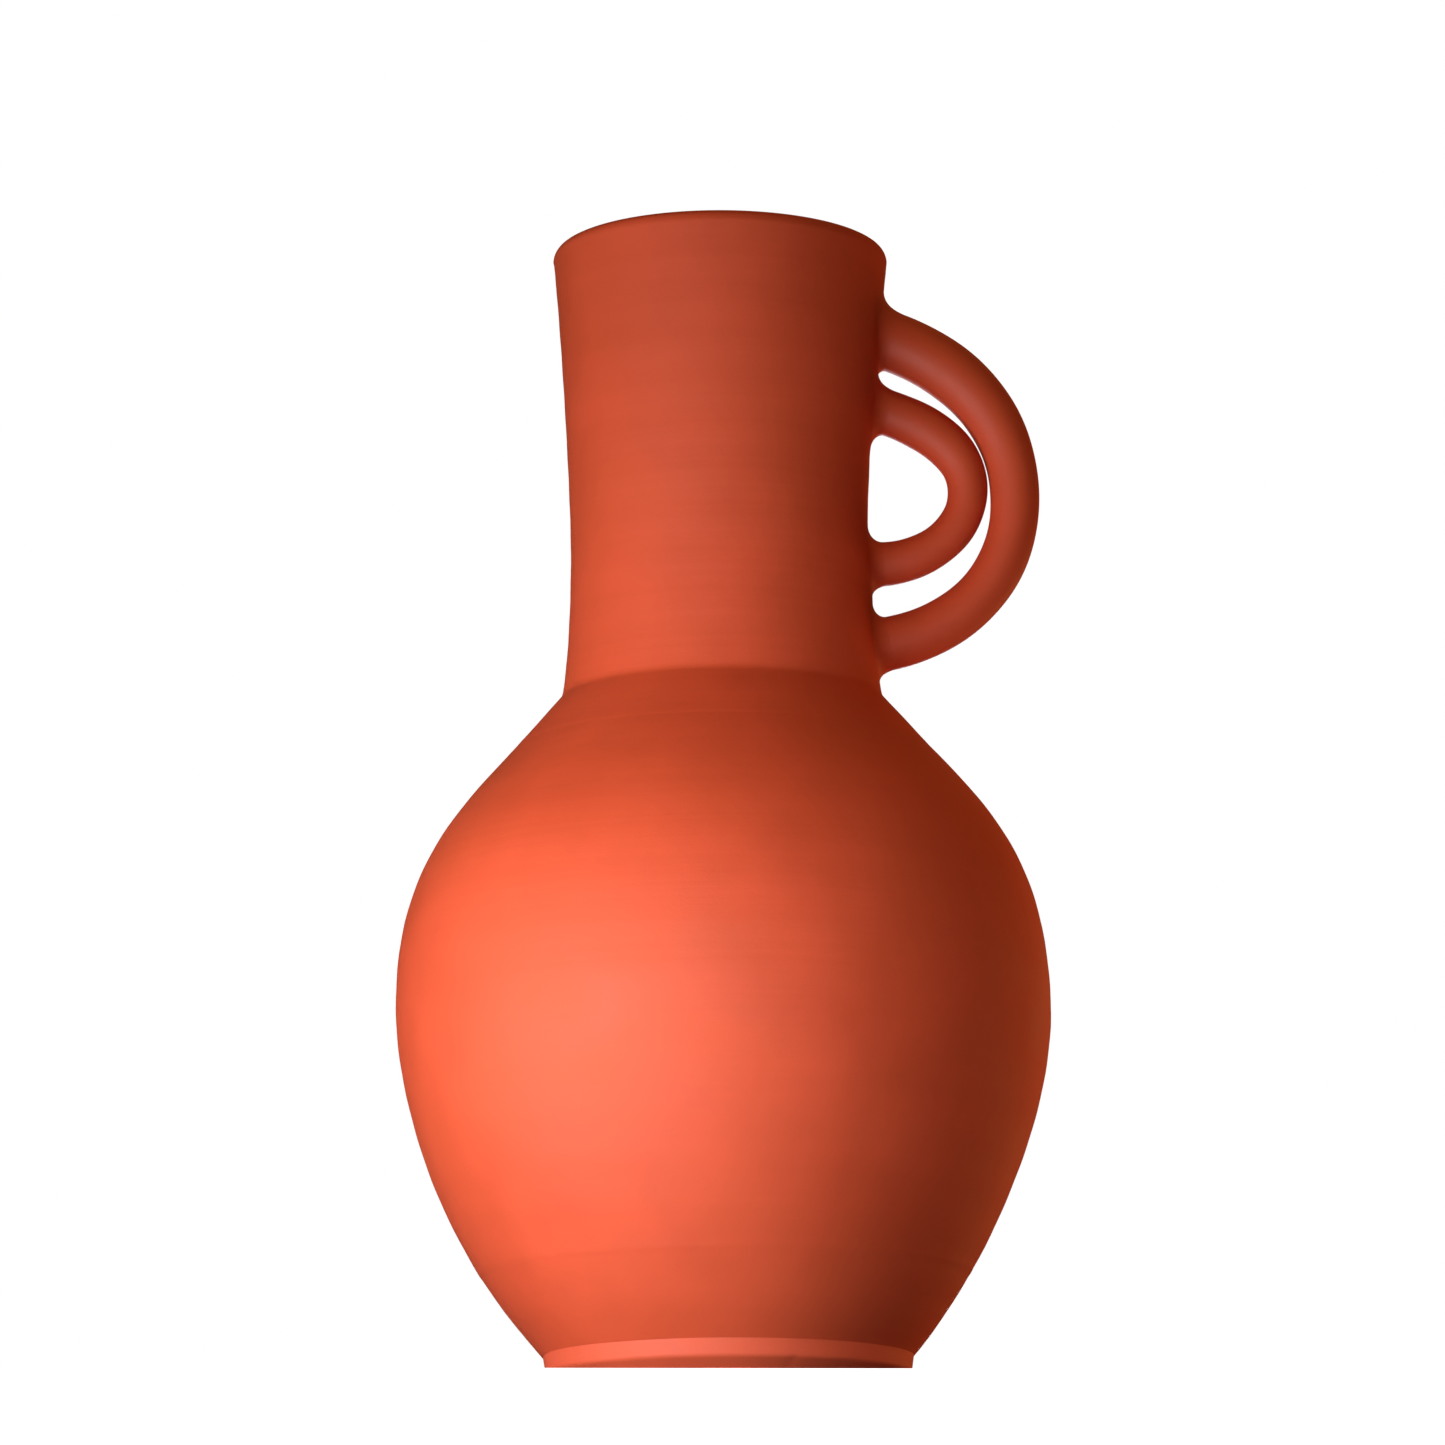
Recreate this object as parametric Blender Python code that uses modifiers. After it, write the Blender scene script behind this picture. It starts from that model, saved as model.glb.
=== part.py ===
"""Ceramic pitcher: a thrown terracotta vessel with a round belly, a tall neck and a double loop handle.

The pieces are the ones a potter makes and joins: a trimmed base, a thrown belly, a thrown neck that
laps into the belly's mouth, a clay collar over that joint, two pulled handles with a fillet of clay at
each root, a coil inside each seam, and the glaze that lines the inside.

Everything turned stands on the Z axis, with the foot on Z = 0. Both handles lie in the XZ plane, on +X.
Outlines are (radius, height) pairs in metres. A heading is in degrees from +radius towards +height.
"""

import math

import bmesh
import bpy
from mathutils import Matrix, Vector

# Driving dimensions, in metres.
HEIGHT = 0.300
WALL = 0.0065  # belly wall
GAP = 0.0003  # clearance between neighbouring pieces

FOOT_RADIUS = 0.0435  # outer edge of the ring that it rests on
FOOT_RING_WIDTH = 0.0075
FOOT_RECESS = 0.0015
FOOT_BEVEL_RADIUS = 0.0463
FOOT_BEVEL_HEIGHT = 0.0029
FOOT_BAND_RADIUS = 0.0469
FOOT_BAND_HEIGHT = 0.0079
FLOOR_RADIUS = 0.0393
FLOOR_TOP = 0.0104

BELLY_FOOT = (0.0473, FOOT_BAND_HEIGHT + GAP)
BELLY_FOOT_HEADING = 44
WIDEST = (0.0846, 0.0971)
SHOULDER_EDGE = (0.0540, 0.1654)  # where the collar begins
SHOULDER_HEADING = 132.5
MOUTH_RADIUS = 0.0376
COLLAR_DEPTH = 0.0022

NECK_FOOT = (0.0419, 0.1797)
NECK_FOOT_HEADING = 100.7
WAIST = (0.0395, 0.2174)
RIM_RADIUS = 0.0442
RIM_HEADING = 84
LIP_THICKNESS = 0.0050
LIP_ROUNDING = 0.0019
BORE_RADIUS = 0.0342
SPIGOT_RADIUS = MOUTH_RADIUS - GAP
SPIGOT_END = 0.1725

BELLY_STEP_TOP = 0.0098  # the belly's foot stands up straight to here, round the floor
FLOOR_COIL_START = 0.0310
FLOOR_COIL_MIDDLE = (0.0385, 0.0130)
NECK_COIL_LOW = 0.1630
NECK_COIL_MIDDLE = (0.0403, 0.1674)
LINING_THICKNESS = 0.0008
LINING_TOP = 0.2920

# Each handle runs from its lower root through its outermost point to its upper root, in X and Z.
# Its radii are those at these three places, and its pulls shape the two halves of the loop.
OUTER_HANDLE = {
    "start": (0.0400, 0.1935),
    "start_heading": 7,
    "bulge": (0.0773, 0.2329),
    "end": (0.0400, 0.2775),
    "end_heading": 164,
    "pulls": (0.38, 0.42, 0.39, 0.39),
    "radii": (0.0070, 0.0063, 0.0077),
}
INNER_HANDLE = {
    "start": (0.0395, 0.2154),
    "start_heading": -2,
    "bulge": (0.0649, 0.2354),
    "end": (0.0395, 0.2578),
    "end_heading": 165,
    "pulls": (0.41, 0.37, 0.34, 0.40),
    "radii": (0.0058, 0.0051, 0.0063),
}
HANDLE_STEPS = 10  # runs in each half of a loop
ROOT_DEPTH = 0.014  # how far a handle's guide runs on into the neck before it is cut
FILLET_HEIGHT = 0.0052
FILLET_DEPTH = 0.010
# A fillet's face, from its tip to the neck: its spread beyond the handle, and its share of the height.
FILLET_FACE = ((0.0008, 1), (0.0012, 0.66), (0.0019, 0.38), (0.0027, 0.12))

TURN_STEPS = 40
FILLET_STEPS = 20
TUBE_RESOLUTION = 4
SHARP_ANGLE = 35
BARE_ROUGHNESS = 0.85
GLAZE_ROUGHNESS = 0.2

CLAY = (0.62, 0.115, 0.045)
PALE_CLAY = (0.70, 0.16, 0.07)
SLIP = (0.55, 0.10, 0.04)
GLAZE = (0.40, 0.09, 0.035)


def heading(degrees):
    return Vector((math.cos(math.radians(degrees)), math.sin(math.radians(degrees))))


def bend(start, start_heading, end, end_heading, pulls, count):
    """Points of one smooth curve, a cubic Bezier whose pulls are shares of the chord."""
    first, last = Vector(start), Vector(end)
    chord = (last - first).length
    leaving = first + heading(start_heading) * pulls[0] * chord
    arriving = last - heading(end_heading) * pulls[1] * chord
    points = []
    for step in range(count + 1):
        t = step / count
        s = 1 - t
        points.append(s**3 * first + 3 * s * s * t * leaving + 3 * s * t * t * arriving + t**3 * last)
    return points


def inset(points, distance):
    """The outline moved towards the axis on a path that climbs, and up on one that runs outwards."""
    moved = []
    for index, point in enumerate(points):
        before = points[max(index - 1, 0)]
        after = points[min(index + 1, len(points) - 1)]
        runs = [(b - a).normalized() for a, b in ((before, point), (point, after)) if (b - a).length > 0]
        normals = [Vector((-run.y, run.x)) for run in runs]
        middle = sum(normals, Vector((0, 0))).normalized()
        moved.append(point + middle * distance / middle.dot(normals[0]))
    return moved


def at_height(points, height):
    """The point where a climbing outline, or its last run carried on, crosses a height."""
    for low, high in zip(points, points[1:]):
        if high.y >= height or high is points[-1]:
            break
    share = (height - low.y) / (high.y - low.y)
    return low.lerp(high, share)


def quarter_arc(centre, radius, start_degrees, count):
    turns = [start_degrees + 90 * step / count for step in range(count + 1)]
    return [Vector(centre) + heading(turn) * radius for turn in turns]


def lower_belly():
    return bend(BELLY_FOOT, BELLY_FOOT_HEADING, WIDEST, 90, (0.27, 0.31), 9)


def upper_belly():
    return bend(WIDEST, 90, SHOULDER_EDGE, SHOULDER_HEADING, (0.48, 0.33), 9)


def neck_outside():
    """From the neck's foot up to where the lip starts to round over."""
    low = bend(NECK_FOOT, NECK_FOOT_HEADING, WAIST, 90, (0.27, 0.30), 4)
    lip_start = (RIM_RADIUS, HEIGHT - LIP_ROUNDING)
    return low + bend(WAIST, 90, lip_start, RIM_HEADING, (0.19, 0.25), 6)[1:]


def neck_bore():
    """From the end of the spigot up to where the lip starts to round over."""
    lip_end = (RIM_RADIUS - LIP_THICKNESS, HEIGHT - LIP_ROUNDING)
    straight = [Vector((BORE_RADIUS, SPIGOT_END))]
    return straight + bend((BORE_RADIUS, WAIST[1]), 90, lip_end, RIM_HEADING, (0.19, 0.25), 6)


def shoulder_line():
    """The straight run from the collar's lower edge to the top of the joint."""
    return [Vector(SHOULDER_EDGE), Vector((NECK_FOOT[0], NECK_FOOT[1] - GAP))]


def belly_inside():
    """The belly's inner face, from its foot to the underside of its mouth."""
    outside = lower_belly() + upper_belly()[1:] + shoulder_line()[1:]
    return inset(outside, WALL)


def floor_coil_face():
    """The coil's open face, from the floor up to the belly wall."""
    top = belly_inside()[1]
    return [Vector((FLOOR_COIL_START, FLOOR_TOP)), Vector(FLOOR_COIL_MIDDLE), top]


def neck_coil_face():
    """The coil's open face, from the belly wall up to the bore of the neck."""
    wall = inset(shoulder_line(), WALL)
    top = Vector((BORE_RADIUS, SPIGOT_END - GAP))
    return [at_height(wall, NECK_COIL_LOW), Vector(NECK_COIL_MIDDLE), top]


def cavity():
    """The inside of the finished vessel, from the middle of the floor up to just below the lip."""
    wall = [point for point in belly_inside()[2:] if point.y < NECK_COIL_LOW]
    bore = [point for point in neck_bore()[1:] if point.y < LINING_TOP]
    bore.append(at_height(neck_bore(), LINING_TOP))
    return [Vector((0, FLOOR_TOP))] + floor_coil_face() + wall + neck_coil_face() + bore


def clay_material(name, colour, roughness):
    material = bpy.data.materials.new(name)
    material.use_nodes = True
    shader = material.node_tree.nodes["Principled BSDF"]
    shader.inputs["Base Color"].default_value = (*colour, 1)
    shader.inputs["Roughness"].default_value = roughness
    shader.inputs["Metallic"].default_value = 0
    material.diffuse_color = (*colour, 1)
    return material


def finish_piece(piece, colour, roughness):
    piece.data.materials.append(clay_material(piece.name + "_clay", colour, roughness))
    piece.data.shade_smooth()
    piece.data.set_sharp_from_angle(angle=math.radians(SHARP_ANGLE))
    parts.objects.link(piece)
    piece.parent = pitcher
    return piece


def hide_helper(helper):
    helper.hide_render = True
    helper.display_type = "WIRE"
    cutters.objects.link(helper)
    return helper


def turned(name, outline, closed, steps=TURN_STEPS):
    """A body of revolution. The outline runs down its outer side."""
    mesh = bpy.data.meshes.new(name)
    edges = [(index, index + 1) for index in range(len(outline) - 1)]
    if closed:
        edges.append((len(outline) - 1, 0))
    mesh.from_pydata([(point[0], 0, point[1]) for point in outline], edges, [])
    piece = bpy.data.objects.new(name, mesh)
    screw = piece.modifiers.new("Turn", "SCREW")
    screw.steps = steps
    screw.render_steps = steps
    screw.use_merge_vertices = True
    screw.merge_threshold = 0.00001
    screw.use_smooth_shade = True
    return piece


def tube(name, points, radii):
    """A mesh tube with closed ends along points in the XZ plane."""
    curve = bpy.data.curves.new(name, "CURVE")
    curve.dimensions = "3D"
    curve.bevel_depth = 1
    curve.bevel_resolution = TUBE_RESOLUTION
    curve.use_fill_caps = True
    spline = curve.splines.new("POLY")
    spline.points.add(len(points) - 1)
    for knot, point, radius in zip(spline.points, points, radii):
        knot.co = (point[0], 0, point[1], 1)
        knot.radius = radius
    guide = bpy.data.objects.new(name + "_guide", curve)
    bpy.context.scene.collection.objects.link(guide)
    graph = bpy.context.evaluated_depsgraph_get()
    mesh = bpy.data.meshes.new_from_object(guide.evaluated_get(graph))
    mesh.name = name
    body = bmesh.new()
    body.from_mesh(mesh)
    bmesh.ops.remove_doubles(body, verts=body.verts, dist=0.00001)
    bmesh.ops.recalc_face_normals(body, faces=body.faces)
    body.to_mesh(mesh)
    body.free()
    piece = bpy.data.objects.new(name, mesh)
    piece.matrix_world = guide.matrix_world
    bpy.data.objects.remove(guide)
    return piece


def cut(piece, cutter):
    boolean = piece.modifiers.new("Cut " + cutter.name, "BOOLEAN")
    boolean.operation = "DIFFERENCE"
    boolean.solver = "EXACT"
    boolean.object = cutter


def handle_route(loop):
    """The centre line, carried on straight into the neck wall at both ends."""
    low, high = heading(loop["start_heading"]), heading(loop["end_heading"])
    pulls = loop["pulls"]
    lower = bend(loop["start"], loop["start_heading"], loop["bulge"], 90, pulls[:2], HANDLE_STEPS)
    upper = bend(loop["bulge"], 90, loop["end"], loop["end_heading"], pulls[2:], HANDLE_STEPS)
    return [lower[0] - low * ROOT_DEPTH] + lower + upper[1:] + [upper[-1] + high * ROOT_DEPTH]


def handle_radii(loop):
    """A radius for each point of handle_route, thinnest at the outermost point."""
    low, middle, high = loop["radii"]
    turns = [step / HANDLE_STEPS for step in range(HANDLE_STEPS + 1)]
    ease = [0.5 - 0.5 * math.cos(math.pi * turn) for turn in turns]
    lower = [low + (middle - low) * share for share in ease]
    upper = [middle + (high - middle) * share for share in ease]
    return [low] + lower + upper[1:] + [high]


def neck_radius(height):
    return at_height(neck_outside(), height).x


def make_fillet(name, root, direction, radius, sleeve, neck_cutter):
    """A flared ring of clay between one root of a handle and the neck."""
    face = [(radius + spread, FILLET_HEIGHT * share) for spread, share in FILLET_FACE]
    outline = [(0, FILLET_HEIGHT)] + face + [(face[-1][0], -FILLET_DEPTH), (0, -FILLET_DEPTH)]
    fillet = turned(name, outline, closed=False, steps=FILLET_STEPS)
    lean = Vector((direction.x, 0, direction.y))
    reach = (neck_radius(root[1]) - root[0]) / direction.x
    place = Vector((root[0], 0, root[1])) + lean * reach
    turn = Vector((0, 0, 1)).rotation_difference(lean).to_matrix().to_4x4()
    fillet.matrix_world = Matrix.Translation(place) @ turn
    cut(fillet, neck_cutter)
    cut(fillet, sleeve)
    return finish_piece(fillet, SLIP, BARE_ROUGHNESS)


def make_base():
    outline = [
        (0, FLOOR_TOP),
        (FLOOR_RADIUS, FLOOR_TOP),
        (FLOOR_RADIUS, FOOT_BAND_HEIGHT),
        (FOOT_BAND_RADIUS, FOOT_BAND_HEIGHT),
        (FOOT_BEVEL_RADIUS, FOOT_BEVEL_HEIGHT),
        (FOOT_RADIUS, 0),
        (FOOT_RADIUS - FOOT_RING_WIDTH, 0),
        (FOOT_RADIUS - FOOT_RING_WIDTH - FOOT_RECESS, FOOT_RECESS),
        (0, FOOT_RECESS),
    ]
    return finish_piece(turned("base", outline, closed=False), PALE_CLAY, BARE_ROUGHNESS)


def make_belly():
    """The wall from foot to mouth, with a rebate round the shoulder for the collar."""
    rebate = inset(shoulder_line(), COLLAR_DEPTH + GAP)
    joint_top = NECK_FOOT[1] - GAP
    mouth_edge = [Vector((MOUTH_RADIUS, joint_top)), at_height(rebate, joint_top)]
    step = heading(SHOULDER_HEADING) * GAP
    outside = lower_belly() + upper_belly()[1:-1] + [Vector(SHOULDER_EDGE) - step, rebate[0] - step]
    inside = [point for point in belly_inside() if point.x > MOUTH_RADIUS]
    wall_line = inset(shoulder_line(), WALL)
    share = (wall_line[0].x - MOUTH_RADIUS) / (wall_line[0].x - wall_line[1].x)
    mouth_foot = wall_line[0].lerp(wall_line[1], share)
    sole = [Vector((FLOOR_RADIUS + GAP, height)) for height in (BELLY_FOOT[1], BELLY_STEP_TOP)]
    outline = mouth_edge + outside[::-1] + sole + inside + [mouth_foot]
    return finish_piece(turned("belly", outline, closed=True), CLAY, BARE_ROUGHNESS)


def make_collar():
    """The band of clay over the joint, flush with the shoulder."""
    face = shoulder_line()
    back = inset(face, COLLAR_DEPTH)
    outline = [face[1], face[0], back[0], at_height(back, face[1].y)]
    return finish_piece(turned("collar", outline, closed=True), SLIP, BARE_ROUGHNESS)


def make_neck():
    outside = neck_outside()
    bore = neck_bore()
    lip_height = HEIGHT - LIP_ROUNDING
    outer_lip = quarter_arc((RIM_RADIUS - LIP_ROUNDING, lip_height), LIP_ROUNDING, 0, 3)
    inner_lip = quarter_arc((bore[-1].x + LIP_ROUNDING, lip_height), LIP_ROUNDING, 90, 3)
    spigot = [(SPIGOT_RADIUS, NECK_FOOT[1]), (SPIGOT_RADIUS, SPIGOT_END)]
    outline = (outer_lip[1:])[::-1] + outside[::-1] + spigot + bore + (inner_lip[:-1])[::-1]
    return finish_piece(turned("neck", outline, closed=True), CLAY, BARE_ROUGHNESS)


def make_coil(name, face, back):
    """A coil pressed into an inside corner, from its open face and its hidden back, both climbing."""
    outline = list(back)[::-1] + list(face)
    return finish_piece(turned(name, outline, closed=True), SLIP, BARE_ROUGHNESS)


def make_inside_coils():
    wall = inset(belly_inside(), GAP)
    floor_face = [Vector((FLOOR_COIL_START, FLOOR_TOP + GAP)), Vector(FLOOR_COIL_MIDDLE)]
    corner = at_height(wall[:2], FLOOR_TOP + GAP)
    make_coil("floor_seam_coil", floor_face, [corner, wall[0], wall[1]])
    shoulder = inset(shoulder_line(), WALL + GAP)
    face = neck_coil_face()
    hidden_top = at_height(shoulder, face[2].y)
    make_coil("neck_seam_coil", face[1:], [at_height(shoulder, face[0].y), hidden_top])


def make_lining():
    outside = inset(cavity(), GAP)
    inside = inset(cavity(), GAP + LINING_THICKNESS)
    outside[0].x = inside[0].x = 0
    outline = inside + outside[::-1]
    return finish_piece(turned("glaze_lining", outline, closed=False), GLAZE, GLAZE_ROUGHNESS)


def make_neck_cutter():
    outside = inset(neck_outside(), -GAP)
    outline = [(0, outside[-1].y)] + outside[::-1] + [(0, outside[0].y)]
    return hide_helper(turned("neck_cutter", outline, closed=False))


def make_handle(name, loop, neck_cutter):
    """One loop, butted against the neck, with a fillet round each root."""
    route = handle_route(loop)
    sizes = handle_radii(loop)
    handle = tube(name, route, sizes)
    sleeve = hide_helper(tube(name + "_sleeve", route, [size + GAP for size in sizes]))
    cut(handle, neck_cutter)
    finish_piece(handle, CLAY, BARE_ROUGHNESS)
    lower = heading(loop["start_heading"])
    upper = -heading(loop["end_heading"])
    low_radius, _, high_radius = loop["radii"]
    make_fillet(name + "_lower_fillet", loop["start"], lower, low_radius, sleeve, neck_cutter)
    make_fillet(name + "_upper_fillet", loop["end"], upper, high_radius, sleeve, neck_cutter)


for old in list(bpy.data.objects):
    bpy.data.objects.remove(old)

parts = bpy.data.collections.new("ceramic_pitcher")
cutters = bpy.data.collections.new("cutters")
bpy.context.scene.collection.children.link(parts)
bpy.context.scene.collection.children.link(cutters)
pitcher = bpy.data.objects.new("pitcher", None)
parts.objects.link(pitcher)

make_base()
make_belly()
make_collar()
make_neck()
make_inside_coils()
make_lining()
neck_cutter = make_neck_cutter()
make_handle("outer_handle", OUTER_HANDLE, neck_cutter)
make_handle("inner_handle", INNER_HANDLE, neck_cutter)
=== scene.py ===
"""Looks for the ceramic pitcher: turned surfaces, blended handle roots, matte terracotta and studio light."""

import math

import bmesh
import bpy
import numpy as np
from mathutils import Euler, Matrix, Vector


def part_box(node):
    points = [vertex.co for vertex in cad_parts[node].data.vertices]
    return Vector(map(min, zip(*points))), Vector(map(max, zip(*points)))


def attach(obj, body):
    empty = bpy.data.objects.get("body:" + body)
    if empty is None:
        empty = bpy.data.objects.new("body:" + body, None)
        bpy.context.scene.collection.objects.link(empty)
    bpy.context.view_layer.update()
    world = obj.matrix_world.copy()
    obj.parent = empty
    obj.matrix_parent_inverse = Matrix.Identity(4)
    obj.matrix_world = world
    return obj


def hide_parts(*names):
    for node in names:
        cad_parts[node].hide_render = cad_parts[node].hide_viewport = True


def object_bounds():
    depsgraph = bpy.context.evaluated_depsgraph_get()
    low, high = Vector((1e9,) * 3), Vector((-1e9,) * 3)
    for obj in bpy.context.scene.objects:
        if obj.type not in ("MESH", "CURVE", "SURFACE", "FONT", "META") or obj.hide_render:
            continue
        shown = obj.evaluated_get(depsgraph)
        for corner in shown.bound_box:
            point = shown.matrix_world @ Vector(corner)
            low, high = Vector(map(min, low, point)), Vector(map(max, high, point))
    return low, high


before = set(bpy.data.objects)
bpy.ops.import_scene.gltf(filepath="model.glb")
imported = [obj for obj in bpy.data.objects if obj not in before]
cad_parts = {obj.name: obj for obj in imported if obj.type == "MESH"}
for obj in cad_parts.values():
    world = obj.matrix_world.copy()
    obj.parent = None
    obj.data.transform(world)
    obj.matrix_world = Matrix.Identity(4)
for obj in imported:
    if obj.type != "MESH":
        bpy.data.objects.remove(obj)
cad_low, cad_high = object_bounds()

# Sizes read from the frame, in metres.
HEIGHT = cad_high.z
BELLY_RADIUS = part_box("belly")[1].x
BELLY_FOOT_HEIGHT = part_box("belly")[0].z
SEAM_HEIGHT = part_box("belly")[1].z
COLLAR_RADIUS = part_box("collar")[1].x
NECK_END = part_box("neck")[0].z
RIM_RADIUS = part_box("neck")[1].x
FLOOR_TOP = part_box("base")[1].z
LINING_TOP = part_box("glaze_lining")[1].z

# The turned outline: radii and heights in metres, headings in degrees from +radius towards +height.
FOOT_LINE = BELLY_FOOT_HEIGHT - 0.0007  # where the slip of the joint is wiped level
BELLY_FOOT_RADIUS = 0.0476
BELLY_FOOT_HEADING = 49
WIDEST_HEIGHT = 0.0971
COLLAR_LOW = 0.1654
SHOULDER_HEADING = 132.5
COLLAR_HEADING = 131.0
COLLAR_BLEND = (0.0431, 0.1779)  # where the collar starts to turn up into the neck
COLLAR_TOP = SEAM_HEIGHT + 0.0012
COLLAR_FEATHER = 0.0018  # how far the collar starts under the belly's surface
SEAM_RADIUS = 0.0419
NECK_FOOT_HEADING = 100.7
WAIST = (0.0395, 0.2174)
RIM_HEADING = 84
LIP_THICKNESS = 0.0050
LIP_ROUNDING = 0.0021  # how far the lip's outside turns in
LIP_FALL = 0.0027  # the height over which it does
WALL = 0.0065
BORE_RADIUS = 0.0342
MOUTH_RADIUS = 0.0376
FOOT_RADIUS = 0.0435
FOOT_BEVEL = (0.0467, 0.0031)
FOOT_EDGE = 0.0004  # rounding of the foot ring's outer edge
FOOT_SPACING = 0.0008
CHIP_ANGLE = math.radians(-69)
CHIP_DEPTH = 0.0004
FOOT_RING_INNER = 0.0360
FOOT_RECESS = 0.0015
FLOOR_RADIUS = 0.0393
LINING_THICKNESS = 0.0008
COLLAR_DEPTH = 0.0022

TURN_STEPS = 288
FINE_SPACING = 0.0007
PLAIN_SPACING = 0.0030
COLLAR_SPACING = 0.0004

OUTER_HANDLE = {
    "start": (0.0400, 0.1935),
    "start_heading": 7,
    "bulge": (0.0773, 0.2329),
    "end": (0.0400, 0.2775),
    "end_heading": 164,
    "pulls": (0.38, 0.42, 0.39, 0.39),
    "radii": (0.0070, 0.0063, 0.0079),
    "slimmest": 0.40,
    "thick_from": 0.94,
    "root_depths": (0.0015, 0.0006),
}
INNER_HANDLE = {
    "start": (0.0395, 0.2154),
    "start_heading": -2,
    "bulge": (0.0649, 0.2354),
    "end": (0.0395, 0.2578),
    "end_heading": 165,
    "pulls": (0.41, 0.37, 0.34, 0.40),
    "radii": (0.0058, 0.0051, 0.0061),
    "slimmest": 0.42,
    "thick_from": 0.74,
    "root_depths": (0.0015, 0.0010),
}
TUBE_SIDES = 64
TUBE_SPACING = 0.0008

# The blended roots of the handles.
FILLET_STEPS = 18
FILLET_FULLNESS = 1.25  # how far its curve follows the handle and the neck, as a share of the chord
FILLET_SUNK = 0.0009  # how deep its hidden side lies under the neck's surface
FILLET_UNDER = 0.0012  # and under the handle's


def heading(degrees):
    return np.array([math.cos(math.radians(degrees)), math.sin(math.radians(degrees))])


def bend(start, start_heading, end, end_heading, pulls, count=80):
    """One smooth curve, a cubic Bezier whose pulls are shares of the chord."""
    first, last = np.array(start, float), np.array(end, float)
    chord = np.linalg.norm(last - first)
    leaving = first + heading(start_heading) * pulls[0] * chord
    arriving = last - heading(end_heading) * pulls[1] * chord
    t = np.linspace(0, 1, count + 1)[:, None]
    s = 1 - t
    return s**3 * first + 3 * s * s * t * leaving + 3 * s * t * t * arriving + t**3 * last


def arc(centre, radii, first_degrees, last_degrees, count=10):
    """Part of an ellipse, or of a circle where both radii are the same."""
    turns = np.radians(np.linspace(first_degrees, last_degrees, count + 1))
    return np.array(centre) + np.array(radii) * np.stack([np.cos(turns), np.sin(turns)], 1)


def inset(points, distance):
    """The outline moved towards the axis on a path that climbs, and up on one that runs outwards."""
    runs = np.gradient(points, axis=0)
    runs /= np.linalg.norm(runs, axis=1)[:, None]
    return points + distance * np.stack([-runs[:, 1], runs[:, 0]], 1)


def resample(points, spacing):
    """The same path with evenly spaced points."""
    lengths = np.r_[0, np.cumsum(np.linalg.norm(np.diff(points, axis=0), axis=1))]
    count = max(2, int(round(lengths[-1] / spacing)) + 1)
    places = np.linspace(0, lengths[-1], count)
    return np.stack([np.interp(places, lengths, points[:, axis]) for axis in range(2)], 1)


def radius_at(points, height):
    return np.interp(height, points[:, 1], points[:, 0])


# The outline's curves, each climbing.
lower_belly = bend(
    (BELLY_FOOT_RADIUS, FOOT_LINE), BELLY_FOOT_HEADING, (BELLY_RADIUS, WIDEST_HEIGHT), 90, (0.395, 0.24)
)
upper_belly = bend(
    (BELLY_RADIUS, WIDEST_HEIGHT), 90, (COLLAR_RADIUS, COLLAR_LOW), SHOULDER_HEADING, (0.48, 0.33)
)
neck_low = bend((SEAM_RADIUS, SEAM_HEIGHT), NECK_FOOT_HEADING, WAIST, 90, (0.27, 0.30))
neck_high = bend(WAIST, 90, (RIM_RADIUS, HEIGHT - LIP_FALL), RIM_HEADING, (0.19, 0.25))
neck_face = np.vstack([neck_low, neck_high[1:]])
collar_low = bend((COLLAR_RADIUS, COLLAR_LOW), COLLAR_HEADING, COLLAR_BLEND, COLLAR_HEADING, (0.33, 0.33), 24)
collar_tip = (radius_at(neck_face, COLLAR_TOP), COLLAR_TOP)
collar_high = bend(COLLAR_BLEND, COLLAR_HEADING, collar_tip, NECK_FOOT_HEADING, (0.40, 0.45), 12)
collar_face = np.vstack([collar_low, collar_high[1:]])
bore_top = (RIM_RADIUS - LIP_THICKNESS, HEIGHT - LIP_FALL)
bore_face = np.vstack(
    [[(BORE_RADIUS, NECK_END)], bend((BORE_RADIUS, WAIST[1]), 90, bore_top, RIM_HEADING, (0.19, 0.25))]
)


def smooth_step(low, high, value):
    share = np.clip((value - low) / (high - low), 0, 1)
    return share * share * (3 - 2 * share)


def hump(centre, width, value):
    return np.exp(-(((value - centre) / width) ** 2))


def throwing_marks(height, angle):
    """Finger marks of the wheel, which climb as a slow spiral, in metres."""
    slow = 0.6 + 0.4 * np.sin(height * 61 + 1.3)
    fine = np.sin(2 * np.pi * height / 0.0034 + angle + 2.0 * np.sin(height * 143))
    broad = np.sin(2 * np.pi * height / 0.0113 + angle + 0.7)
    return 0.000010 * slow * fine + 0.000030 * broad


def hand_wobble(height, angle):
    """How far the clay is out of round."""
    return 0.00012 * np.cos(2 * angle + 9 * height) + 0.00007 * np.cos(3 * angle - 21 * height + 1.0)


def belly_relief(height, angle):
    trim_line = BELLY_FOOT_HEIGHT + 0.0205 + 0.0004 * np.sin(angle + 0.4)
    ridge = 0.00009 * hump(trim_line, 0.0007, height)
    trimmed = -0.00006 * smooth_step(trim_line + 0.0007, trim_line - 0.0007, height)
    hand = hand_wobble(height, angle) * smooth_step(0.010, 0.030, height)
    hand = hand * smooth_step(COLLAR_LOW, COLLAR_LOW - 0.020, height)
    return throwing_marks(height, angle) + hand + ridge + trimmed


def neck_relief(height, angle):
    """Marks and wobble, and the side that the handles' roots pressed a little flat."""
    across = np.angle(np.exp(1j * angle))
    band = smooth_step(0.214, 0.228, height) * smooth_step(0.258, 0.244, height)
    dent = -0.0011 * hump(0, 0.60, across) * band
    hand = hand_wobble(height, angle) * smooth_step(SEAM_HEIGHT, SEAM_HEIGHT + 0.020, height)
    return throwing_marks(height, angle) + hand + dent


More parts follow.
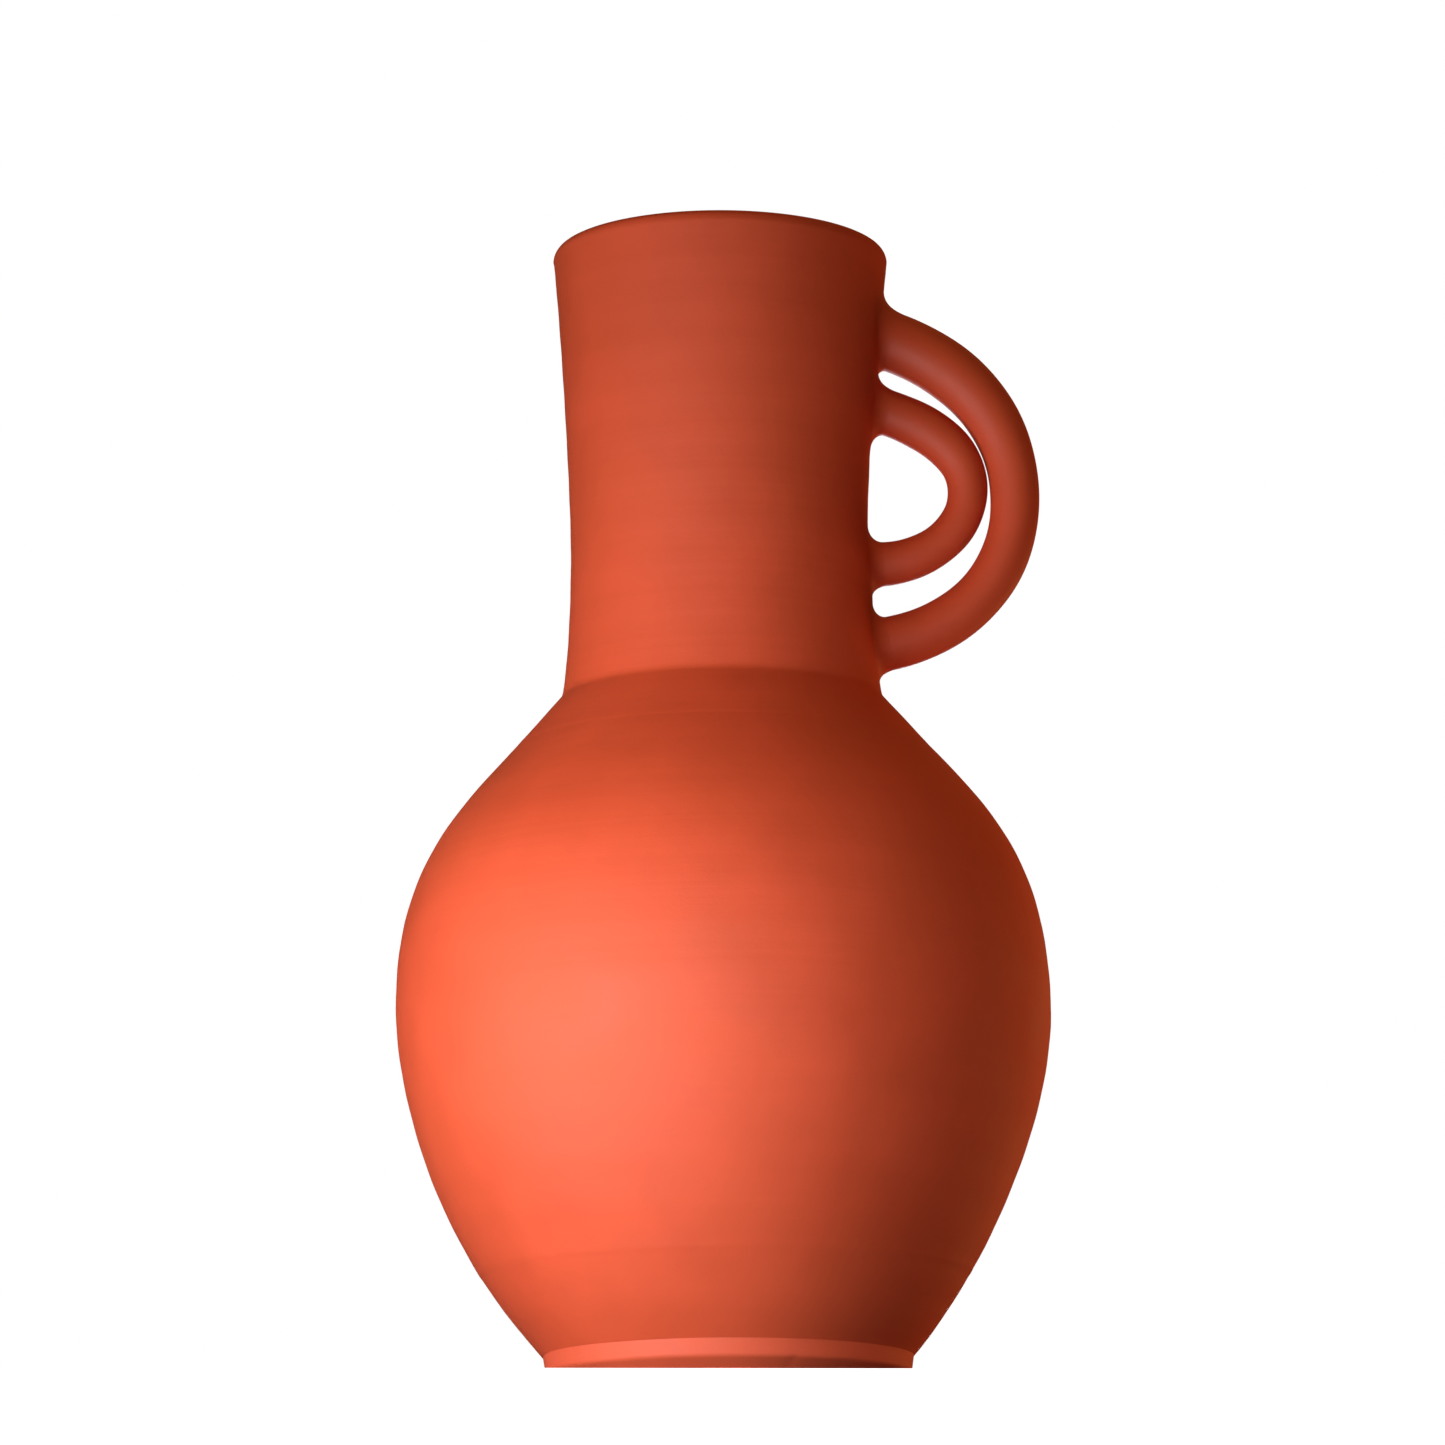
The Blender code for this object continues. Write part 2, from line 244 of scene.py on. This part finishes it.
def collar_relief(height, angle):
    """A worked band: its lower edge rises a hair out of the belly, and its top is wiped on to the neck."""
    rise = -0.00008 + 0.00014 * smooth_step(COLLAR_LOW - 0.0016, COLLAR_LOW + 0.0003, height)
    settle = -0.00004 * smooth_step(COLLAR_LOW + 0.0003, COLLAR_LOW + 0.0030, height)
    worked = 0.00005 * np.cos(5 * angle + 0.8) * hump(COLLAR_LOW + 0.007, 0.004, height)
    return throwing_marks(height, angle) + rise + settle + worked


def neck_surface(height, angle):
    return radius_at(neck_face, height) + neck_relief(height, angle)


def finish_mesh(name, mesh, sharp_degrees):
    """Welds, checks the facing of the faces, shades them smooth and links the piece."""
    body = bmesh.new()
    body.from_mesh(mesh)
    bmesh.ops.remove_doubles(body, verts=body.verts, dist=0.0000001)
    bmesh.ops.recalc_face_normals(body, faces=body.faces)
    body.to_mesh(mesh)
    body.free()
    mesh.shade_smooth()
    mesh.set_sharp_from_angle(angle=math.radians(sharp_degrees))
    piece = bpy.data.objects.new(name, mesh)
    bpy.context.scene.collection.objects.link(piece)
    return piece


def grid_mesh(name, points, close_rows):
    """A mesh over rows of points, closed round each row, and from the last row to the first if asked."""
    rows, columns = points.shape[:2]
    index = np.arange(rows * columns).reshape(rows, columns)
    below = index if close_rows else index[:-1]
    above = np.roll(index, -1, 0) if close_rows else index[1:]
    quads = np.stack([below, np.roll(below, -1, 1), np.roll(above, -1, 1), above], -1).reshape(-1, 4)
    mesh = bpy.data.meshes.new(name)
    mesh.from_pydata(points.reshape(-1, 3).tolist(), [], quads.tolist())
    return mesh


def sway(height):
    """How far the clay leans towards the handles at a height: the trimmed foot is off centre, and so on."""
    foot = 0.00090 * smooth_step(0.032, 0.002, height)
    lower = -0.00024 * hump(0.050, 0.016, height)
    upper = -0.00016 * hump(0.113, 0.014, height)
    shoulder = 0.00022 * hump(0.155, 0.018, height)
    return foot + lower + upper + shoulder


def rim_drop(x, height):
    """The rim dips slightly towards the handles."""
    return -smooth_step(HEIGHT - 0.030, HEIGHT, height) * (0.00016 + 0.00022 * x / RIM_RADIUS)


def turned(name, outline, relief=None, shown=None, closed=True, steps=TURN_STEPS, sharp_degrees=32):
    """A body of revolution. The relief moves the shown points of its outline in or out."""
    outline = np.asarray(outline, float)
    angle = np.linspace(0, 2 * np.pi, steps, endpoint=False)[None, :]
    radius = np.repeat(outline[:, :1], steps, 1)
    height = np.repeat(outline[:, 1:], steps, 1)
    if relief is not None:
        radius = radius + relief(height, angle) * np.asarray(shown, float)[:, None]
    across = radius * np.cos(angle)
    level = height + rim_drop(across, height)
    points = np.stack([across + sway(height), radius * np.sin(angle), level], -1)
    return finish_mesh(name, grid_mesh(name, points, closed), sharp_degrees)


def joined(*stretches):
    """An outline from (points, shown) stretches, and which of its points the relief moves."""
    shown = np.concatenate([np.full(len(points), mark) for points, mark in stretches])
    return np.vstack([points for points, _ in stretches]), shown


def make_base():
    band_top = (BELLY_FOOT_RADIUS - 0.0001, FOOT_LINE + 0.0004)
    band_end = (FOOT_BEVEL[0] + 0.0002, FOOT_BEVEL[1] + 0.0009)
    turn = (FOOT_BEVEL[0] - 0.0008, FOOT_BEVEL[1] - 0.0007)
    wall = resample(np.array([band_top, band_end]), FOOT_SPACING)
    edge = bend(band_end, -94, turn, -141, (0.40, 0.40), 8)[1:]
    slope = resample(np.array([turn, (FOOT_RADIUS, FOOT_EDGE)]), FOOT_SPACING)
    bevel = np.vstack([edge, slope[1:]])
    ring_edge = arc((FOOT_RADIUS - FOOT_EDGE, FOOT_EDGE), (FOOT_EDGE, FOOT_EDGE), 0, -90, 4)
    hidden = np.array([(0, FLOOR_TOP), (FLOOR_RADIUS, FLOOR_TOP), (FLOOR_RADIUS, band_top[1])])
    under = np.array([(FOOT_RING_INNER, 0), (FOOT_RING_INNER - 0.0015, FOOT_RECESS)])
    recess = resample(np.array([under[1], (0.0, FOOT_RECESS)]), 0.0012)
    swirl = recess + np.stack([0 * recess[:, 0], 0.00006 * np.sin(recess[:, 0] * 1700)], 1)
    swirl[-1] = (0, FOOT_RECESS)
    outline = np.vstack([hidden, wall, bevel[:-1], ring_edge, under[:1], swirl])
    shown = np.zeros(len(outline))
    shown[len(hidden) : len(hidden) + len(wall) + len(bevel) - 1] = 1
    return turned("trimmed_base", outline, foot_relief, shown, closed=False, sharp_degrees=28)


def foot_relief(height, angle):
    """A band slightly out of round, with one small chip in its lower edge."""
    around = np.angle(np.exp(1j * (angle - CHIP_ANGLE - 10 * (height - FOOT_BEVEL[1]))))
    chip = -CHIP_DEPTH * hump(0, 0.018, around) * hump(FOOT_BEVEL[1] - 0.0009, 0.0012, height)
    return 0.00005 * np.cos(2 * angle + 0.6) + 0.00003 * np.cos(7 * angle) + chip


def make_belly():
    outside = np.vstack([lower_belly, upper_belly[1:]])
    outside = resample(outside, FINE_SPACING)
    inner_wall = resample(inset(outside, WALL), PLAIN_SPACING)
    inner_wall = inner_wall[inner_wall[:, 0] > MOUTH_RADIUS]
    collar_back = inset(collar_low, COLLAR_DEPTH)[::4]
    mouth = np.array([(MOUTH_RADIUS, SEAM_HEIGHT - 0.0004), (MOUTH_RADIUS, inner_wall[-1, 1] + 0.0030)])
    outline, shown = joined((outside, 1), (collar_back, 0), (mouth, 0), (inner_wall[::-1], 0))
    return turned("thrown_belly", outline, belly_relief, shown)


def make_collar():
    heights = upper_belly[:, 1]
    feather = upper_belly[(heights > COLLAR_LOW - COLLAR_FEATHER) & (heights < COLLAR_LOW)]
    face = resample(np.vstack([feather, collar_face]), COLLAR_SPACING)
    back = inset(collar_low, COLLAR_DEPTH)[::4]
    outline, shown = joined((face, 1), (back[::-1], 0))
    return turned("joint_collar", outline, collar_relief, shown, sharp_degrees=50)


def make_neck():
    outside = resample(neck_face, FINE_SPACING)
    lip_height = HEIGHT - LIP_FALL
    lip = np.vstack(
        [
            arc((RIM_RADIUS - LIP_ROUNDING, lip_height), (LIP_ROUNDING, LIP_FALL), 0, 90)[1:],
            arc((bore_top[0] + LIP_ROUNDING, lip_height), (LIP_ROUNDING, LIP_FALL), 90, 180)[:-1],
        ]
    )
    bore = resample(bore_face, PLAIN_SPACING)
    spigot = np.array([(MOUTH_RADIUS - 0.0003, NECK_END), (MOUTH_RADIUS - 0.0003, SEAM_HEIGHT - 0.0002)])
    outline, shown = joined((outside, 1), (lip, 0), (bore[::-1], 0), (spigot, 0))
    return turned("thrown_neck", outline, neck_relief, shown)


def cavity():
    """The finished inside, from the middle of the floor up to just below the lip."""
    wall = inset(resample(np.vstack([lower_belly, upper_belly[1:]]), 0.0015), WALL)
    corner = bend((0.030, FLOOR_TOP), 10, wall[9], BELLY_FOOT_HEADING + 12, (0.45, 0.35), 12)
    floor = np.array([(0, FLOOR_TOP), (0.015, FLOOR_TOP)])
    wall = wall[10:-5]
    throat = bend(wall[-1], SHOULDER_HEADING + 6, (BORE_RADIUS, NECK_END + 0.004), 90, (0.55, 0.35), 14)
    bore = resample(bore_face, 0.0020)
    bore = bore[(bore[:, 1] > NECK_END + 0.006) & (bore[:, 1] < LINING_TOP)]
    return np.vstack([floor, corner, wall, throat[1:], bore])


def lining_relief(height, angle):
    """Broad finger ridges under the glaze, left by throwing from inside."""
    return 0.00022 * np.sin(2 * np.pi * height / 0.0125 + angle) * smooth_step(0.02, 0.05, height)


def make_lining():
    outside = inset(cavity(), 0.0003)
    inside = inset(cavity(), 0.0003 + LINING_THICKNESS)
    outside[0, 0] = inside[0, 0] = 0
    outline, shown = joined((inside, 1), (outside[::-1], 0))
    return turned("inside_glaze", outline, lining_relief, shown, closed=False, steps=160, sharp_degrees=60)


def handle_path(loop):
    """The centre line and its radii. Its ends stop inside the neck's wall, short of the bore."""
    low, high = heading(loop["start_heading"]), heading(loop["end_heading"])
    pulls = loop["pulls"]
    lower = bend(loop["start"], loop["start_heading"], loop["bulge"], 90, pulls[:2])
    upper = bend(loop["bulge"], 90, loop["end"], loop["end_heading"], pulls[2:])
    first, last = lower[0] - low * loop["root_depths"][0], upper[-1] + high * loop["root_depths"][1]
    line = np.vstack([first, lower, upper[1:], last])
    line = resample(line, TUBE_SPACING)
    start, slim, end = loop["radii"]
    along = np.linspace(0, 1, len(line))
    radii = start + (slim - start) * smooth_step(0, loop["slimmest"], along)
    radii = radii + (end - slim) * smooth_step(loop["slimmest"], loop["thick_from"], along)
    rolled = 0.00005 * np.sin(along * 17 + 1) + 0.00003 * np.sin(along * 41)
    return line, radii + rolled


def tube_ring(centre, run, radius, turns):
    """Points round the tube at one place. Turn 0 is on its upper or outer side."""
    side = np.array([-run[1], run[0]])
    flat = np.cos(turns)[:, None] * side * np.asarray(radius).reshape(-1, 1)
    deep = np.sin(turns) * radius
    return np.stack([centre[0] + flat[:, 0], deep, centre[1] + flat[:, 1]], 1)


def make_tube(name, line, radii):
    turns = np.linspace(0, 2 * np.pi, TUBE_SIDES, endpoint=False)
    runs = np.gradient(line, axis=0)
    runs /= np.linalg.norm(runs, axis=1)[:, None]
    rings = np.stack([tube_ring(c, run, r, turns) for c, run, r in zip(line, runs, radii)])
    mesh = grid_mesh(name, rings, False)
    body = bmesh.new()
    body.from_mesh(mesh)
    bmesh.ops.holes_fill(body, edges=[edge for edge in body.edges if edge.is_boundary])
    body.to_mesh(mesh)
    body.free()
    return finish_mesh(name, mesh, 50)


def on_neck(point, direction):
    """Slides a point along a direction until it lies on the neck's surface."""
    low, high = -0.02, 0.02
    for _ in range(40):
        middle = (low + high) / 2
        tried = point + direction * middle
        angle = math.atan2(tried[1], tried[0])
        outside = math.hypot(tried[0], tried[1]) > neck_surface(tried[2], angle)
        low, high = (low, middle) if outside else (middle, high)
    return point + direction * (low + high) / 2


def make_fillet(name, line, radii, from_start, reach, spread_up, spread_down):
    """Clay drawn from a handle's root out over the neck, wider above or below as the thumb left it."""
    if not from_start:
        line, radii = line[::-1], radii[::-1]
    depths = line[:, 0] - neck_surface(line[:, 1], 0)
    root = int(np.argmax(depths > 0))
    spacing = np.linalg.norm(line[root + 1] - line[root])
    tip = root + int(round(reach / spacing))
    runs = np.gradient(line, axis=0)
    runs /= np.linalg.norm(runs, axis=1)[:, None]
    out = np.array([runs[root][0], 0, runs[root][1]])
    turns = np.linspace(0, 2 * np.pi, TUBE_SIDES, endpoint=False)
    spread = spread_down + (spread_up - spread_down) * (0.5 + 0.5 * np.cos(turns))
    tip_ring = tube_ring(line[tip], runs[tip], radii[tip] - 0.00003, turns)
    inner_ring = tube_ring(line[tip], runs[tip], radii[tip] - FILLET_UNDER, turns)
    wide = tube_ring(line[root], runs[root], radii[root] + spread, turns)
    wider = tube_ring(line[root], runs[root], radii[root] + spread + 0.0003, turns)
    feet = np.array([on_neck(point, out) for point in wide])
    beyond = np.array([on_neck(point, out) for point in wider])
    leaving = -np.array([runs[tip][0], 0, runs[tip][1]])[None, :]
    arriving = beyond - feet
    arriving /= np.linalg.norm(arriving, axis=1)[:, None]
    chord = np.linalg.norm(feet - tip_ring, axis=1)[:, None]
    rows = []
    for t in np.linspace(0, 1, FILLET_STEPS + 1):
        a, b = 2 * t**3 - 3 * t**2 + 1, t**3 - 2 * t**2 + t
        c, d = -2 * t**3 + 3 * t**2, t**3 - t**2
        pull = chord * FILLET_FULLNESS
        rows.append(a * tip_ring + b * pull * leaving + c * feet + d * pull * arriving)
    inward = feet * np.array([1, 1, 0])
    inward /= np.linalg.norm(inward, axis=1)[:, None]
    sunk = feet - inward * FILLET_SUNK
    middle = tube_ring(line[root], runs[root], radii[root] - FILLET_UNDER, turns) - inward * FILLET_SUNK
    rows += [sunk, middle, inner_ring]
    return finish_mesh(name, grid_mesh(name, np.stack(rows), True), 60)


# Materials: procedural, in object coordinates, with constant values on the shader's own sockets.


def node(tree, kind, inputs=None, **settings):
    made = tree.nodes.new(kind)
    for setting, value in settings.items():
        setattr(made, setting, value)
    for socket, value in (inputs or {}).items():
        made.inputs[socket].default_value = value
    return made


def stretched_noise(tree, scale, noise_scale, detail):
    """Noise over object coordinates stretched by a scale along each axis."""
    coordinates = node(tree, "ShaderNodeTexCoord")
    mapping = node(tree, "ShaderNodeMapping", {"Scale": scale})
    noise = node(tree, "ShaderNodeTexNoise", {"Scale": noise_scale, "Detail": detail, "Roughness": 0.55})
    tree.links.new(coordinates.outputs["Object"], mapping.inputs["Vector"])
    tree.links.new(mapping.outputs["Vector"], noise.inputs["Vector"])
    return noise.outputs["Fac"]


def ramp(tree, value, low, high, dark, light):
    """A value remapped from low..high to dark..light."""
    limits = {"From Min": low, "From Max": high, "To Min": dark, "To Max": light}
    remap = node(tree, "ShaderNodeMapRange", limits)
    tree.links.new(value, remap.inputs["Value"])
    return remap.outputs["Result"]


def blend_colour(tree, share, first, second):
    """Two colours mixed by a share. Either may be a colour or a socket."""
    mix = node(tree, "ShaderNodeMix", data_type="RGBA")
    tree.links.new(share, mix.inputs[0])
    for socket, colour in ((mix.inputs[6], first), (mix.inputs[7], second)):
        if isinstance(colour, tuple):
            socket.default_value = (*colour, 1)
        else:
            tree.links.new(colour, socket)
    return mix.outputs[2]


def clay_material(name, colour, roughness=0.68, specular=0.5, grain=1.0):
    """Matte earthenware: blotches from firing, faint wheel streaks, sandy grain and a few dark specks."""
    material = bpy.data.materials.new(name)
    material.use_nodes = True
    tree = material.node_tree
    shader = tree.nodes["Principled BSDF"]
    shader.inputs["Specular IOR Level"].default_value = specular
    pale = tuple(channel * 1.08 + 0.002 for channel in colour)
    deep = tuple(channel * 0.92 for channel in colour)
    warm = (colour[0] * 0.97, colour[1] * 1.12, colour[2] * 1.05)
    blotches = stretched_noise(tree, (1, 1, 1), 46, 3)
    patches = stretched_noise(tree, (1, 1, 1.6), 13, 2)
    streaks = stretched_noise(tree, (1, 1, 34), 11, 3)
    sand = stretched_noise(tree, (1, 1, 1), 1500, 2)
    specks = stretched_noise(tree, (1, 1, 1), 900, 2)
    base = blend_colour(tree, ramp(tree, blotches, 0.30, 0.70, 0, 1), deep, pale)
    base = blend_colour(tree, ramp(tree, patches, 0.35, 0.65, 0, 0.45), base, warm)
    base = blend_colour(tree, ramp(tree, streaks, 0.35, 0.75, 0, 0.22), base, deep)
    base = blend_colour(tree, ramp(tree, sand, 0.35, 0.70, 0, 0.16 * grain), base, pale)
    dark = tuple(channel * 0.55 for channel in colour)
    base = blend_colour(tree, ramp(tree, specks, 0.72, 0.80, 0, 0.16 * grain), base, dark)
    tree.links.new(base, shader.inputs["Base Color"])
    gloss = ramp(tree, blotches, 0.3, 0.7, roughness - 0.04, roughness + 0.05)
    tree.links.new(gloss, shader.inputs["Roughness"])
    fine = node(tree, "ShaderNodeBump", {"Strength": 0.20 * grain, "Distance": 0.00012})
    tree.links.new(sand, fine.inputs["Height"])
    broad = node(tree, "ShaderNodeBump", {"Strength": 0.18, "Distance": 0.00030})
    tree.links.new(streaks, broad.inputs["Height"])
    tree.links.new(fine.outputs["Normal"], broad.inputs["Normal"])
    tree.links.new(broad.outputs["Normal"], shader.inputs["Normal"])
    return material


def glaze_material(name, colour):
    """Clear glaze pooled over terracotta: deeper where it is thick, with fine pinholes."""
    material = bpy.data.materials.new(name)
    material.use_nodes = True
    tree = material.node_tree
    shader = tree.nodes["Principled BSDF"]
    shader.inputs["Specular IOR Level"].default_value = 0.55
    deep = tuple(channel * 0.72 for channel in colour)
    pools = stretched_noise(tree, (1, 1, 3), 60, 3)
    base = blend_colour(tree, ramp(tree, pools, 0.35, 0.65, 0, 1), deep, colour)
    tree.links.new(base, shader.inputs["Base Color"])
    tree.links.new(ramp(tree, pools, 0.3, 0.7, 0.14, 0.24), shader.inputs["Roughness"])
    ripple = node(tree, "ShaderNodeBump", {"Strength": 0.25, "Distance": 0.0004})
    tree.links.new(pools, ripple.inputs["Height"])
    tree.links.new(ripple.outputs["Normal"], shader.inputs["Normal"])
    return material


BODY_COLOUR = (0.660, 0.070, 0.020)
BODY_CLAY = clay_material("body_clay", BODY_COLOUR)
# The foot's clay is a lighter, pinker copy of the body's clay: painted light, standing in for the bounce that
# the foot band catches from the white table below.
FOOT_CLAY_PAINTED_BOUNCE = clay_material("foot_clay", (0.690, 0.082, 0.030))
JOINT_CLAY = clay_material("joint_clay", BODY_COLOUR)
HANDLE_CLAY = clay_material("handle_clay", BODY_COLOUR, roughness=0.62)
GLAZE = glaze_material("inside_glaze", (0.36, 0.050, 0.016))


def place(piece, material, node_name):
    """Gives a piece its material and lets it stand for its CAD node."""
    piece.data.materials.clear()
    piece.data.materials.append(material)
    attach(piece, "root")
    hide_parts(node_name)


place(make_base(), FOOT_CLAY_PAINTED_BOUNCE, "base")
place(make_belly(), BODY_CLAY, "belly")
place(make_collar(), JOINT_CLAY, "collar")
place(make_neck(), BODY_CLAY, "neck")
place(make_lining(), GLAZE, "glaze_lining")

# Each root: whether it is the loop's start, its reach along the handle, and its spread above and below.
ROOTS = {
    "outer_handle": (("lower", True, 0.0040, 0.0042, 0.0034), ("upper", False, 0.0046, 0.0050, 0.0020)),
    "inner_handle": (("lower", True, 0.0038, 0.0042, 0.0032), ("upper", False, 0.0036, 0.0040, 0.0042)),
}
for handle_name, loop in (("outer_handle", OUTER_HANDLE), ("inner_handle", INNER_HANDLE)):
    line, radii = handle_path(loop)
    place(make_tube(handle_name + "_coil", line, radii), HANDLE_CLAY, handle_name)
    for side, from_start, reach, spread_up, spread_down in ROOTS[handle_name]:
        fillet_name = f"{handle_name}_{side}_fillet"
        fillet = make_fillet(
            fillet_name + "_blend", line, radii, from_start, reach, spread_up, spread_down
        )
        place(fillet, HANDLE_CLAY, fillet_name)

for hidden_coil in ("floor_seam_coil", "neck_seam_coil"):
    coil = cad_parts[hidden_coil]
    coil.data.materials.clear()
    coil.data.materials.append(JOINT_CLAY)


# The stage: a pale floor, seen from above only, and the edge of the table that the pitcher stands at.


def stage_material(name, radiance):
    """Plain white that is clear from behind, so no view of the pitcher is blocked."""
    material = bpy.data.materials.new(name)
    material.use_nodes = True
    tree = material.node_tree
    tree.nodes.clear()
    side = node(tree, "ShaderNodeNewGeometry")
    clear = node(tree, "ShaderNodeBsdfTransparent")
    white = node(tree, "ShaderNodeEmission", {"Color": (1, 1, 1, 1), "Strength": radiance})
    matte = node(tree, "ShaderNodeBsdfDiffuse", {"Color": (0.35, 0.34, 0.33, 1)})
    both = node(tree, "ShaderNodeAddShader")
    mix = node(tree, "ShaderNodeMixShader")
    output = node(tree, "ShaderNodeOutputMaterial")
    tree.links.new(white.outputs[0], both.inputs[0])
    tree.links.new(matte.outputs[0], both.inputs[1])
    tree.links.new(side.outputs["Backfacing"], mix.inputs[0])
    tree.links.new(both.outputs[0], mix.inputs[1])
    tree.links.new(clear.outputs[0], mix.inputs[2])
    tree.links.new(mix.outputs[0], output.inputs["Surface"])
    return material


TABLE_EDGE = 0.0480  # the table's front edge stands just clear of the foot
TABLE_LEVEL = -0.0002
TABLE_SLOPE = 0.0058  # it falls a little to the right
STAGE_HALF = 2.0


def stage_sheet(name, corners, material):
    mesh = bpy.data.meshes.new(name)
    mesh.from_pydata(corners, [], [tuple(range(len(corners)))])
    mesh.materials.append(material)
    sheet = bpy.data.objects.new(name, mesh)
    bpy.context.scene.collection.objects.link(sheet)
    sheet.visible_diffuse = False
    sheet.visible_glossy = False
    sheet.visible_shadow = False
    return sheet


floor_white = stage_material("floor_white", 0.86)
edge_white = stage_material("edge_white", 1.0)
half = STAGE_HALF
floor_corners = [(-half, -half, 0), (half, -half, 0), (half, half, 0), (-half, half, 0)]
stage_sheet("pale_floor", floor_corners, floor_white)
front = -TABLE_EDGE
left_top, right_top = TABLE_LEVEL + TABLE_SLOPE * half, TABLE_LEVEL - TABLE_SLOPE * half
stage_sheet(
    "table_edge",
    [(-half, front, -half), (half, front, -half), (half, front, right_top), (-half, front, left_top)],
    edge_white,
)


BELLY_LIGHT_HEIGHT = 0.090


def area_light(name, azimuth, distance, height, sizes, watts, colour):
    """A soft box on the pitcher's belly. Azimuth 0 is in front, and 90 is on the handles' side."""
    light = bpy.data.lights.new(name, "AREA")
    light.shape = "RECTANGLE"
    light.size, light.size_y = sizes
    light.energy = watts
    light.color = colour
    lamp = bpy.data.objects.new(name, light)
    turn = math.radians(azimuth)
    lamp.location = (distance * math.sin(turn), -distance * math.cos(turn), height)
    aim = Vector((0, 0, BELLY_LIGHT_HEIGHT)) - lamp.location
    lamp.rotation_euler = aim.to_track_quat("-Z", "Y").to_euler()
    lamp.visible_camera = False
    bpy.context.scene.collection.objects.link(lamp)


area_light("key", -36, 0.32, 0.036, (0.42, 0.20), 1.90, (0.88, 0.96, 1.0))
area_light("right_edge", 120, 0.45, 0.05, (0.35, 0.35), 0.83, (1.0, 0.34, 0.12))
area_light("back_fill", 180, 0.80, 0.12, (0.30, 0.30), 2.6, (0.90, 0.95, 1.0))


def make_world():
    """White behind the pitcher, and a dim warm light on it from above."""
    world = bpy.data.worlds.new("studio")
    bpy.context.scene.world = world
    world.use_nodes = True
    tree = world.node_tree
    tree.nodes.clear()
    ray = node(tree, "ShaderNodeLightPath")
    direction = node(tree, "ShaderNodeTexCoord")
    parts = node(tree, "ShaderNodeSeparateXYZ")
    dim = node(tree, "ShaderNodeBackground", {"Color": (0.48, 0.23, 0.07, 1)})
    tree.links.new(direction.outputs["Generated"], parts.inputs[0])
    tree.links.new(ramp(tree, parts.outputs["Z"], 0, 1, 0, 1), dim.inputs["Strength"])
    white = node(tree, "ShaderNodeBackground", {"Color": (1, 1, 1, 1), "Strength": 1.0})
    mix = node(tree, "ShaderNodeMixShader")
    output = node(tree, "ShaderNodeOutputWorld")
    tree.links.new(ray.outputs["Is Camera Ray"], mix.inputs[0])
    tree.links.new(dim.outputs[0], mix.inputs[1])
    tree.links.new(white.outputs[0], mix.inputs[2])
    tree.links.new(mix.outputs[0], output.inputs["Surface"])


make_world()

# The camera looks up a little from below the table top, from some way off, with a slight roll.
CAMERA_DISTANCE = 1.600
CAMERA_DROP = 0.156
CAMERA_PITCH = 11.627
CAMERA_ROLL = 0.26
LENS = 155.8


def make_camera():
    camera = bpy.data.objects.new("camera", bpy.data.cameras.new("camera"))
    camera.data.lens = LENS
    camera.data.sensor_width = 36
    camera.location = (0.0001, -CAMERA_DISTANCE, -CAMERA_DROP)
    turn = Euler((math.radians(90 + CAMERA_PITCH), 0, 0)).to_matrix()
    roll = Euler((0, 0, -math.radians(CAMERA_ROLL))).to_matrix()
    camera.rotation_euler = (turn @ roll).to_euler()
    camera.data.clip_start = 0.05
    camera.data.clip_end = 20
    bpy.context.scene.collection.objects.link(camera)
    bpy.context.scene.camera = camera


make_camera()
bpy.context.scene.view_settings.view_transform = "Standard"
